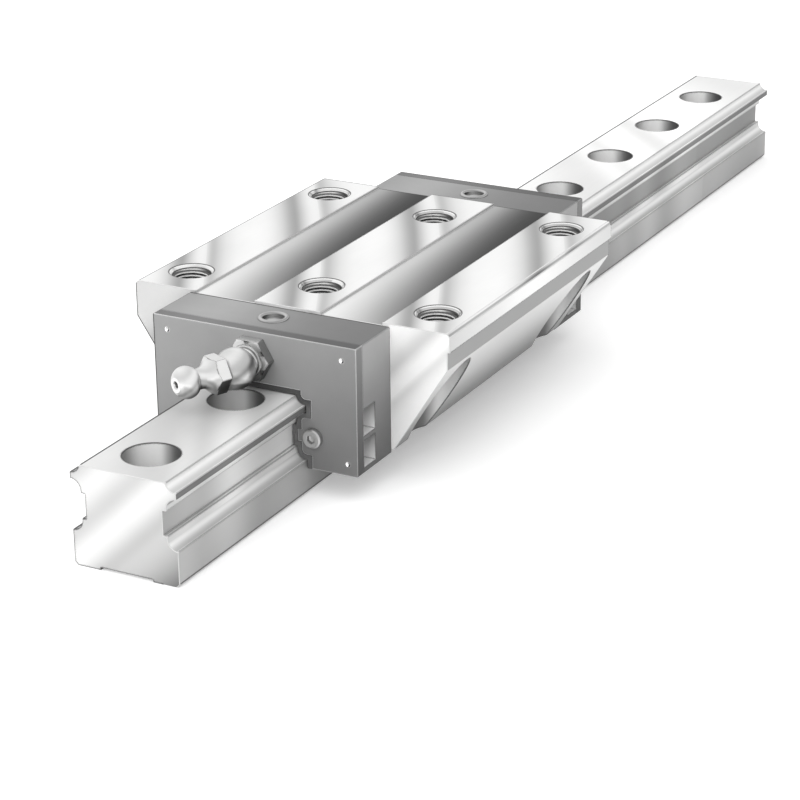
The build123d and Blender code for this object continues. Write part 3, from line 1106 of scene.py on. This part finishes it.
def port_plug(end):
    """A round plug with a raised rim and a shallow crowned cup."""
    low, high = corners(f"{end}_port_plug")
    rings = [
        circle_ring(plug_shaft, -plug_depth),
        circle_ring(plug_shaft, 0),
        circle_ring(plug_rim, 0),
    ]
    rim_top = ((plug_rim + plug_cup) / 2, plug_rise)
    rings += arc_rings((plug_rim, 0), rim_top, (plug_cup, 0), plug_rim_steps)[1:]
    rings.append(circle_ring(plug_cup, plug_floor + plug_foot))
    across, up = plug_crown_halfway
    halfway = (plug_cup * across, plug_floor + plug_crown * up)
    crown = (axis_radius, plug_floor + plug_crown)
    rings += arc_rings((plug_cup - plug_foot_inset, plug_floor), halfway, crown, plug_floor_steps)
    place = Matrix.Translation(((low.x + high.x) / 2, (low.y + high.y) / 2, plug_seat))
    piece = turned_piece(f"{end}_port_plug_dressed", [(rings, place)])
    piece.data.set_sharp_from_angle(angle=radians(sharp_angle))
    dress(piece, "carriage", "port_plug", materials["port_plug"], f"{end}_port_plug")


# Screws

def plate_screw(end, side):
    """A screw with a low round head, a turned edge and a hexagon socket."""
    inward = 1 if end == "front" else -1
    face = plate_low.y if end == "front" else rear_plate_high.y
    across = -screw_across if side == "left" else screw_across
    floor = screw_head_height - screw_socket_depth
    rings = [
        circle_ring(screw_shank, -screw_length),
        circle_ring(screw_shank, 0),
        circle_ring(screw_head, 0),
        circle_ring(screw_head, screw_head_height - screw_edge),
        circle_ring(screw_head - screw_edge, screw_head_height),
        hexagon_ring(screw_socket, screw_head_height),
        hexagon_ring(screw_socket, floor),
        circle_ring(screw_socket * screw_drill_share, floor - screw_socket_drill),
    ]
    place = axis_frame((across, face, screw_height), (0, -inward, 0), (1, 0, 0))
    piece = turned_piece(f"{end}_screw_{side}_dressed", [(rings, place)])
    soften(piece, small_edge)
    dress(piece, "carriage", "screw_steel", materials["screw_steel"], f"{end}_screw_{side}")


# Grease nipple

def nipple_axis():
    """The elbow's outlet: a matrix at the elbow's middle, along the nipple."""
    turn = radians(nipple_turn)
    middle = (0, plate_low.y - elbow_reach, nipple_height)
    return axis_frame(middle, (-sin(turn), -cos(turn), 0), (0, 0, 1))


def nipple_base():
    """The hexagonal base with its collar and stem, and the ball-shaped elbow."""
    seat = axis_frame((0, plate_low.y, nipple_height), (0, -1, 0), (0, 0, 1))
    collar_end = base_length + collar_length
    base = [
        hexagon_ring(base_hexagon, 0),
        bevelled_ring(base_hexagon, base_length),
        circle_ring(base_hexagon / 2, base_length),
        circle_ring(collar_radius, base_length),
        circle_ring(collar_radius, collar_end - collar_edge),
        circle_ring(collar_radius - collar_edge, collar_end),
        circle_ring(stem_radius + stem_fillet, collar_end),
        circle_ring(stem_radius, collar_end + stem_fillet),
        circle_ring(stem_radius, elbow_reach),
    ]
    start = elbow_pole_gap - pi / 2
    sweep = asin(hexagon_start / elbow_radius) - start
    elbow = []
    for i in range(elbow_steps + 1):
        angle = start + sweep * i / elbow_steps
        elbow.append(circle_ring(elbow_radius * cos(angle), elbow_radius * sin(angle)))
    piece = turned_piece("nipple_base_dressed", [(base, seat), (elbow, nipple_axis())])
    soften(piece, small_edge)
    dress(piece, "carriage", "bright_metal", materials["elbow_metal"], "nipple_base")


def grease_nipple():
    """The nipple: bevelled hexagon, hollow cone, neck, round head and its grease port."""
    cone_start = hexagon_start + hexagon_length
    neck_start = cone_start + cone_length
    head_start = neck_start + neck_length
    tip = head_start + head_length
    rings = [
        hexagon_ring(nipple_hexagon - 2 * hexagon_edge, hexagon_start),
        hexagon_ring(nipple_hexagon, hexagon_start + hexagon_edge),
        bevelled_ring(nipple_hexagon, cone_start),
        circle_ring(nipple_hexagon / 2, cone_start),
    ]
    cone_foot = (nipple_hexagon / 2 - hexagon_edge, cone_start + hexagon_edge)
    hollow = (neck_radius + cone_halfway[0], cone_start + cone_length * cone_halfway[1])
    rings += arc_rings(cone_foot, hollow, (neck_radius, neck_start + neck_blend), cone_steps)
    rings.append(circle_ring(neck_radius, head_start - neck_edge))
    shoulder = (neck_radius + head_shoulder, head_start)
    widest = (head_radius, head_start + head_length * head_widest)
    rings += arc_rings(shoulder, widest, (tip_radius + tip_edge[0], tip - tip_edge[1]), head_steps)
    rings.append(circle_ring(tip_radius, tip))
    rings.append(circle_ring(port_radius + port_mouth[0], tip))
    rings.append(circle_ring(port_radius, tip - port_mouth[1]))
    rings.append(circle_ring(port_radius, tip - port_depth))
    piece = turned_piece("grease_nipple_dressed", [(rings, nipple_axis())])
    soften(piece, small_edge)
    dress(piece, "carriage", "bright_metal", materials["bright_metal"], "grease_nipple")


# Stage

def floor():
    """A plain white floor that keeps the object's shadow."""
    graph = Graph(bpy.data.materials.new("floor"))
    graph.shader.inputs["Base Color"].default_value = (floor_grey, floor_grey, floor_grey, 1)
    graph.shader.inputs["Roughness"].default_value = floor_roughness
    graph.shader.inputs["Specular IOR Level"].default_value = 0.0
    glow = graph.add("ShaderNodeEmission")
    graph.feed(glow.inputs["Strength"], graph.times(graph.seen_ray(), floor_glow))
    total = graph.add("ShaderNodeAddShader")
    graph.feed(total.inputs[0], graph.shader.outputs[0])
    graph.feed(total.inputs[1], glow.outputs[0])
    graph.feed(graph.tree.nodes["Material Output"].inputs["Surface"], total.outputs[0])
    signs = ((-1, -1), (1, -1), (1, 1), (-1, 1))
    points = [(across * floor_half, along * floor_half, -floor_drop) for across, along in signs]
    piece = new_mesh("floor", points, [(0, 1, 2, 3)])
    piece.data.materials.append(graph.owner)


def studio_world():
    """A soft white room that lights the object a little less from the right and from low down."""
    world = bpy.data.worlds.new("studio")
    graph = Graph(world)
    coordinates = graph.add("ShaderNodeTexCoord")
    direction = graph.add("ShaderNodeSeparateXYZ", Vector=coordinates.outputs["Generated"])
    sideways = graph.blend(graph.step(direction.outputs["X"], *room_turn), room_left, room_right)
    upwards = graph.blend(graph.step(direction.outputs["Z"], *room_rise), room_low, room_high)
    light = graph.times(sideways, upwards)
    background = graph.tree.nodes["Background"]
    graph.feed(background.inputs["Strength"], graph.blend(graph.seen_ray(), light, 1.0))
    background.inputs["Color"].default_value = (1, 1, 1, 1)
    bpy.context.scene.world = world


def key_light():
    """The square lamp high up in front of the rail. Shiny surfaces don't mirror it."""
    lamp = bpy.data.lights.new("key", "AREA")
    lamp.size = lamp_size * mm
    lamp.energy = lamp_power
    piece = bpy.data.objects.new("key", lamp)
    piece.location = Vector(lamp_place) * mm
    aim = Vector(lamp_target) - Vector(lamp_place)
    piece.rotation_euler = aim.to_track_quat("-Z", "Y").to_euler()
    piece.visible_glossy = False
    bpy.context.scene.collection.objects.link(piece)


def camera():
    """The camera, at the photograph's viewing angle."""
    lens = bpy.data.cameras.new("camera")
    lens.lens = camera_lens
    lens.sensor_width = sensor_width
    lens.clip_start = nearest_metres
    lens.clip_end = farthest_metres
    piece = bpy.data.objects.new("camera", lens)
    piece.location = Vector(camera_place) * mm
    aim = Vector(camera_look).to_track_quat("-Z", "Y")
    piece.rotation_mode = "QUATERNION"
    piece.rotation_quaternion = aim @ Quaternion((0, 0, 1), radians(camera_roll))
    bpy.context.scene.collection.objects.link(piece)
    bpy.context.scene.camera = piece


keep_nodes()
threads()
for end in ("front", "rear"):
    port_plug(end)
    for side in ("left", "right"):
        plate_screw(end, side)
nipple_base()
grease_nipple()
floor()
studio_world()
key_light()
camera()
bpy.context.scene.view_settings.view_transform = "Standard"
